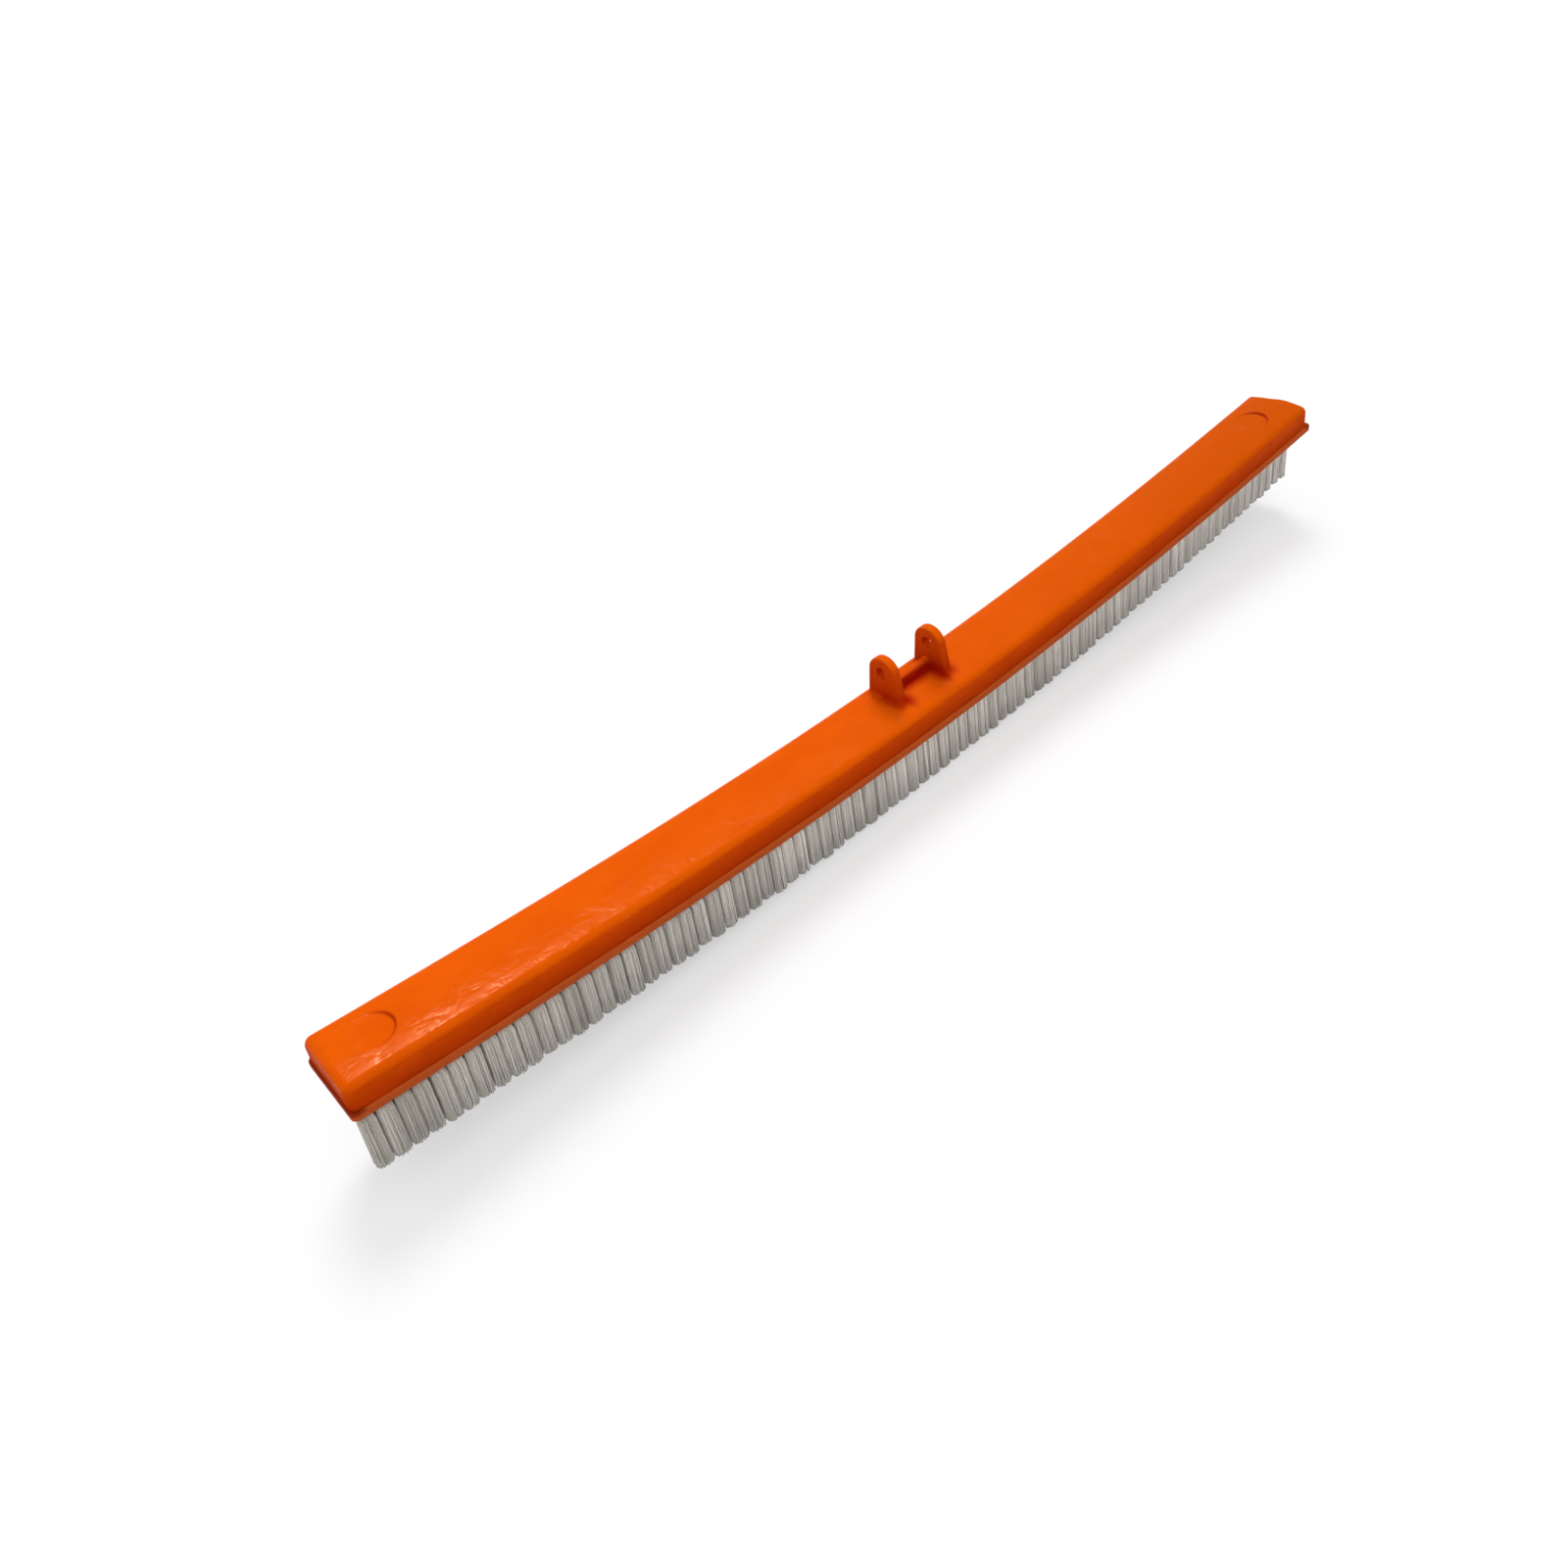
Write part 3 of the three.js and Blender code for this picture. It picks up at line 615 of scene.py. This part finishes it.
def makeNylon():
    material, tree, shader = newMaterial("bristleNylon")
    grain = useGroup(tree, drawnGrain, LineScale=nylon["lineScale"], PatchScale=nylon["patchScale"],
                     PatchShare=nylon["patchShare"])
    # The strand tone mask carries the nylon's own tone, and painted light and shade
    toneAndShade = mathNode(tree, "MULTIPLY", maskNode(tree, "strandTone"), nylon["toneShare"])
    paleness = mathNode(tree, "ADD", toneAndShade, mathNode(tree, "MULTIPLY", grain["Grain"], nylon["grainShare"]))
    body = mixColour(tree, paleness, nylon["deep"], nylon["pale"])
    # Painted shade at the tips of the filaments
    cut = rangeNode(tree, maskNode(tree, "strandRun"), nylon["cutFrom"], 1.0)
    tree.links.new(mixColour(tree, cut, body, nylon["cut"]), shader.inputs["Base Color"])
    rough = rangeNode(tree, grain["Grain"], 0, 1, nylon["rough"] - nylon["smoother"],
                      nylon["rough"] + nylon["rougher"])
    tree.links.new(rough, shader.inputs["Roughness"])
    shader.inputs["Sheen Weight"].default_value = nylon["sheen"]
    addBump(tree, shader, grain["Height"], nylon["bump"], nylon["bumpDepth"])
    return material


# Root and tip of every filament, seen from above. They fill a tuft in a sunflower spiral, closer
# together near its outside and turned by chance, from a round root to a rounded square at the tips.
def filamentEnds(centre, along, sweep, chance):
    tuftCount, strandCount = len(centre), tufts["filaments"]
    number = np.arange(strandCount)
    radius = (((number + 0.5) / strandCount) ** tufts["packing"])[None, :, None]
    angle = number[None, :] * math.radians(tufts["spiralTurn"]) + chance.uniform(0, 2 * math.pi, (tuftCount, 1))
    toward = np.stack([np.cos(angle), np.sin(angle)], axis=-1)
    root = centre + radius * toward * tufts["rootRadius"]
    tipAlong = blend(tufts["tipAlongNear"], tufts["tipAlongFar"], along)
    tipReach = np.stack([tipAlong, np.full(along.shape, tufts["tipAcross"])], axis=-1)
    tip = np.sign(toward) * np.abs(toward) ** tufts["roundness"] * radius * tipReach
    lean = chance.normal(0, 1, (tuftCount, 1, 2)) * np.array([tufts["leanAlong"], tufts["leanAcross"]])
    lean = np.clip(lean, -tufts["leanMost"], tufts["leanMost"])
    tip = centre + tip + lean + chance.normal(0, tufts["stray"], tip.shape)
    tip[..., 1] += sweep
    atEnd = smoothStep(centre[..., 0] - tufts["first"], tufts["endReach"], 0)
    tip[..., 0] += tufts["endLean"] * atEnd * smoothStep(centre[..., 1], tufts["endFront"], tufts["endBack"])
    return root, tip


# Tip heights: a slow wave along the brush, a little by chance for each tuft and each filament.
def tipHeights(centre, sweep, chance):
    x, y = centre[..., 0], centre[..., 1]
    wave = tufts["waveMiddle"]
    for height, alongStep, acrossStep, start in tufts["waves"]:
        wave = wave + height * np.sin(x / alongStep + start + y / acrossStep)
    short = tufts["waveTrim"] * wave + chance.uniform(0, tufts["tuftTrim"], (len(centre), 1))
    short = short + chance.uniform(0, tufts["trim"], (len(centre), tufts["filaments"]))
    return block["bottom"] - np.sqrt(tufts["length"] ** 2 - sweep ** 2) + short


# A ring of corners round each point of each path, then the faces of one filament: its sides, ring
# by ring, and a cap at each end.
def filamentSkin(path, t, chance):
    tuftCount, strandCount, rings = path.shape[:3]
    corners = tufts["corners"]
    turn = chance.uniform(0, 2 * math.pi, (tuftCount, strandCount, 1, 1))
    turn = turn + np.arange(corners) * 2 * math.pi / corners
    half = blend(tufts["thick"], tufts["thickTip"], t[..., None]) / (2 * math.sin(math.pi / corners))
    points = np.repeat(path[:, :, :, None, :], corners, axis=3)
    points[..., 0] += half * np.cos(turn)
    points[..., 1] += half * np.sin(turn)

    edges = [(corners * ring + i, corners * ring + (i + 1) % corners)
             for ring in range(rings - 1) for i in range(corners)]
    sides = np.array([(b, a, a + corners, b + corners) for a, b in edges])
    last = corners * rings - 1
    caps = np.array([[i for i in range(corners)], [last - i for i in range(corners)]])
    starts = (np.arange(tuftCount * strandCount) * corners * rings)[:, None, None]
    return points.reshape(-1, 3), [(starts + sides).reshape(-1, 4), (starts + caps).reshape(-1, corners)]


def makeBristles(bank, material):
    first, end = (round(edge * tufts["columns"] / tufts["banks"]) for edge in (bank, bank + 1))
    chance = np.random.default_rng(tufts["seed"] + bank)
    places = [tuftPlace(column, row) for column in range(first, end) for row in range(tufts["rows"])
              if not holdsScrew(column, row)]
    centre = np.array(places)[:, None, :]
    along = 0.5 + centre[..., 0] / (2 * block["halfLength"])
    sweep = tufts["sweep"] * centre[..., 0] / block["halfLength"]
    root, tip = filamentEnds(centre, along, sweep, chance)
    top = block["bottom"] + tufts["sunk"]
    bottom = tipHeights(centre, sweep, chance)

    t = np.array(tufts["ringAt"])[None, None, :]
    spread = np.array(tufts["spreadAt"])[None, None, :, None]
    path = np.empty(bottom.shape + (t.size, 3))
    path[..., :2] = root[:, :, None, :] + (tip - root)[:, :, None, :] * spread
    path[..., 2] = top + (bottom - top)[..., None] * t
    points, faceSets = filamentSkin(path, t, chance)
    piece = addPiece(f"bristles{bank + 1}", bend(points), faceSets, material, "bristle_nylon",
                     f"bristle_bank_{bank + 1}")

    # Painted shade darkens the inner rows, and painted light makes the filaments paler towards the right end;
    # the tone by chance for each filament and tuft is the nylon's own
    inside = np.abs(centre[..., 1]) < tufts["insideRows"] * tufts["rowSpacing"]
    toneAndShade = blend(tufts["toneNear"], tufts["toneFar"], along)
    toneAndShade = toneAndShade - inside * blend(tufts["insideNear"], tufts["insideFar"], along)
    toneAndShade = toneAndShade + chance.normal(0, tufts["strandTone"], bottom.shape)
    toneAndShade = toneAndShade + chance.normal(0, tufts["tuftTone"], (len(centre), 1))
    ringPoints = np.repeat(tufts["ringAt"], tufts["corners"])
    addMask(piece, "strandTone", np.repeat(np.clip(toneAndShade, 0, 1).ravel(), len(ringPoints)))
    addMask(piece, "strandRun", np.tile(ringPoints, bottom.size))


# Screws keep their CAD solids, in brushed stainless steel with a dull film.
steel = {
    "bright": (0.72, 0.73, 0.74), "dull": (0.52, 0.52, 0.51), "worn": (0.85, 0.85, 0.86), "rough": 0.3,
    "lineScale": 5000.0, "patchScale": 700.0, "patchShare": 0.6, "rubScale": 900.0, "rubShare": 0.7,
    "smoother": 0.06, "rougher": 0.14, "bump": 0.3, "bumpDepth": 0.00003,
}


def makeSteel():
    material, tree, shader = newMaterial("screwSteel")
    shader.inputs["Metallic"].default_value = 1.0
    grain = useGroup(tree, drawnGrain, LineScale=steel["lineScale"], PatchScale=steel["patchScale"],
                     PatchShare=steel["patchShare"])
    rub = useGroup(tree, edgeRub, PatchScale=steel["rubScale"], Amount=steel["rubShare"])["Rub"]
    film = mixColour(tree, grain["Grain"], steel["bright"], steel["dull"])
    tree.links.new(mixColour(tree, rub, film, steel["worn"]), shader.inputs["Base Color"])
    rough = rangeNode(tree, grain["Grain"], 0, 1, steel["rough"] - steel["smoother"],
                      steel["rough"] + steel["rougher"])
    tree.links.new(rough, shader.inputs["Roughness"])
    addBump(tree, shader, grain["Height"], steel["bump"], steel["bumpDepth"])
    return material


def dressScrews():
    material = makeSteel()
    names = [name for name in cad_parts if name.startswith("block_screw_")]
    for name in names:
        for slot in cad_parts[name].material_slots:
            slot.material = material
    print("screws", len(names))


# Floor, soft light from above, behind and the right, and a camera at the photograph's angle.
studio = {
    "keyFrom": (0.42, 0.46, 0.78), "keyStrength": 1.4, "keyAngle": 24.0, "ambient": 0.74,
    "glintFrom": (0.25, 0.33, 0.91), "glintStrength": 24.0, "glintAngle": 5.0,
    "floorShown": (0.49, 0.49, 0.49), "floorBounce": (0.93, 0.93, 0.93), "floorGlow": 0.5, "floorHalf": 30.0,
    "floorDrop": 0.0002, "floorRough": 0.9,
}

view = {
    "azimuth": -34.880, "elevation": 40.271, "roll": -11.263, "target": (-0.10747, -0.00374, 0.0516),
    "distance": 0.65743, "lens": 28.057, "sensor": 36, "clipStart": 0.01,
}


def seenDirectly(tree):        # 1 for camera, glossy and transmission rays
    path = tree.nodes.new("ShaderNodeLightPath")
    seen = mathNode(tree, "MAXIMUM", path.outputs["Is Camera Ray"], path.outputs["Is Glossy Ray"])
    return mathNode(tree, "MAXIMUM", seen, path.outputs["Is Transmission Ray"])


def makeFloor():
    half = studio["floorHalf"]
    mesh = bpy.data.meshes.new("floor")
    corners = [(-half, -half), (half, -half), (half, half), (-half, half)]
    mesh.from_pydata([(x, y, -studio["floorDrop"]) for x, y in corners], [], [(0, 1, 2, 3)])
    floor = bpy.data.objects.new("floor", mesh)
    bpy.context.scene.collection.objects.link(floor)
    material, tree, shader = newMaterial("paleFloor")
    seen = seenDirectly(tree)
    shown = mixColour(tree, seen, studio["floorBounce"], studio["floorShown"])
    tree.links.new(shown, shader.inputs["Base Color"])
    glow = mixColour(tree, seen, (0.0, 0.0, 0.0), (1.0, 1.0, 1.0))
    tree.links.new(glow, shader.inputs["Emission Color"])
    shader.inputs["Emission Strength"].default_value = studio["floorGlow"]
    shader.inputs["Roughness"].default_value = studio["floorRough"]
    shader.inputs["Specular IOR Level"].default_value = 0.0
    mesh.materials.append(material)


def softLight(name):
    light = bpy.data.lights.new(name, "SUN")
    light.energy = studio[name + "Strength"]
    light.angle = math.radians(studio[name + "Angle"])
    lamp = bpy.data.objects.new(name, light)
    lamp.rotation_euler = Vector(studio[name + "From"]).to_track_quat("Z", "Y").to_euler()
    bpy.context.scene.collection.objects.link(lamp)
    return lamp


def makeLight():
    softLight("key").visible_glossy = False
    softLight("glint").visible_diffuse = False
    world = bpy.data.worlds.new("studio")
    world.use_nodes = True
    tree = world.node_tree
    background = tree.nodes["Background"]
    level = rangeNode(tree, seenDirectly(tree), 0, 1, studio["ambient"], 1.0)
    background.inputs["Color"].default_value = (1, 1, 1, 1)
    tree.links.new(level, background.inputs["Strength"])
    bpy.context.scene.world = world


def makeCamera():
    azimuth, elevation, roll = (math.radians(view[key]) for key in ("azimuth", "elevation", "roll"))
    back = Vector((math.sin(azimuth) * math.cos(elevation), -math.cos(azimuth) * math.cos(elevation),
                   math.sin(elevation)))
    right = (-back).cross(Vector((0, 0, 1))).normalized()
    up = right.cross(-back)
    side = right * math.cos(roll) + up * math.sin(roll)
    top = up * math.cos(roll) - right * math.sin(roll)
    camera = bpy.data.objects.new("camera", bpy.data.cameras.new("camera"))
    camera.data.lens = view["lens"]
    camera.data.sensor_width = view["sensor"]
    camera.data.clip_start = view["clipStart"]
    turned = Matrix((side, top, back)).transposed().to_4x4()
    camera.matrix_world = Matrix.Translation(Vector(view["target"]) + back * view["distance"]) @ turned
    bpy.context.scene.collection.objects.link(camera)
    bpy.context.scene.camera = camera


makeShell()
makeBlock()
filament = makeNylon()
for bank in range(tufts["banks"]):
    makeBristles(bank, filament)
dressScrews()
makeFloor()
makeLight()
makeCamera()
bpy.context.scene.view_settings.view_transform = "Standard"
print("studio ready")
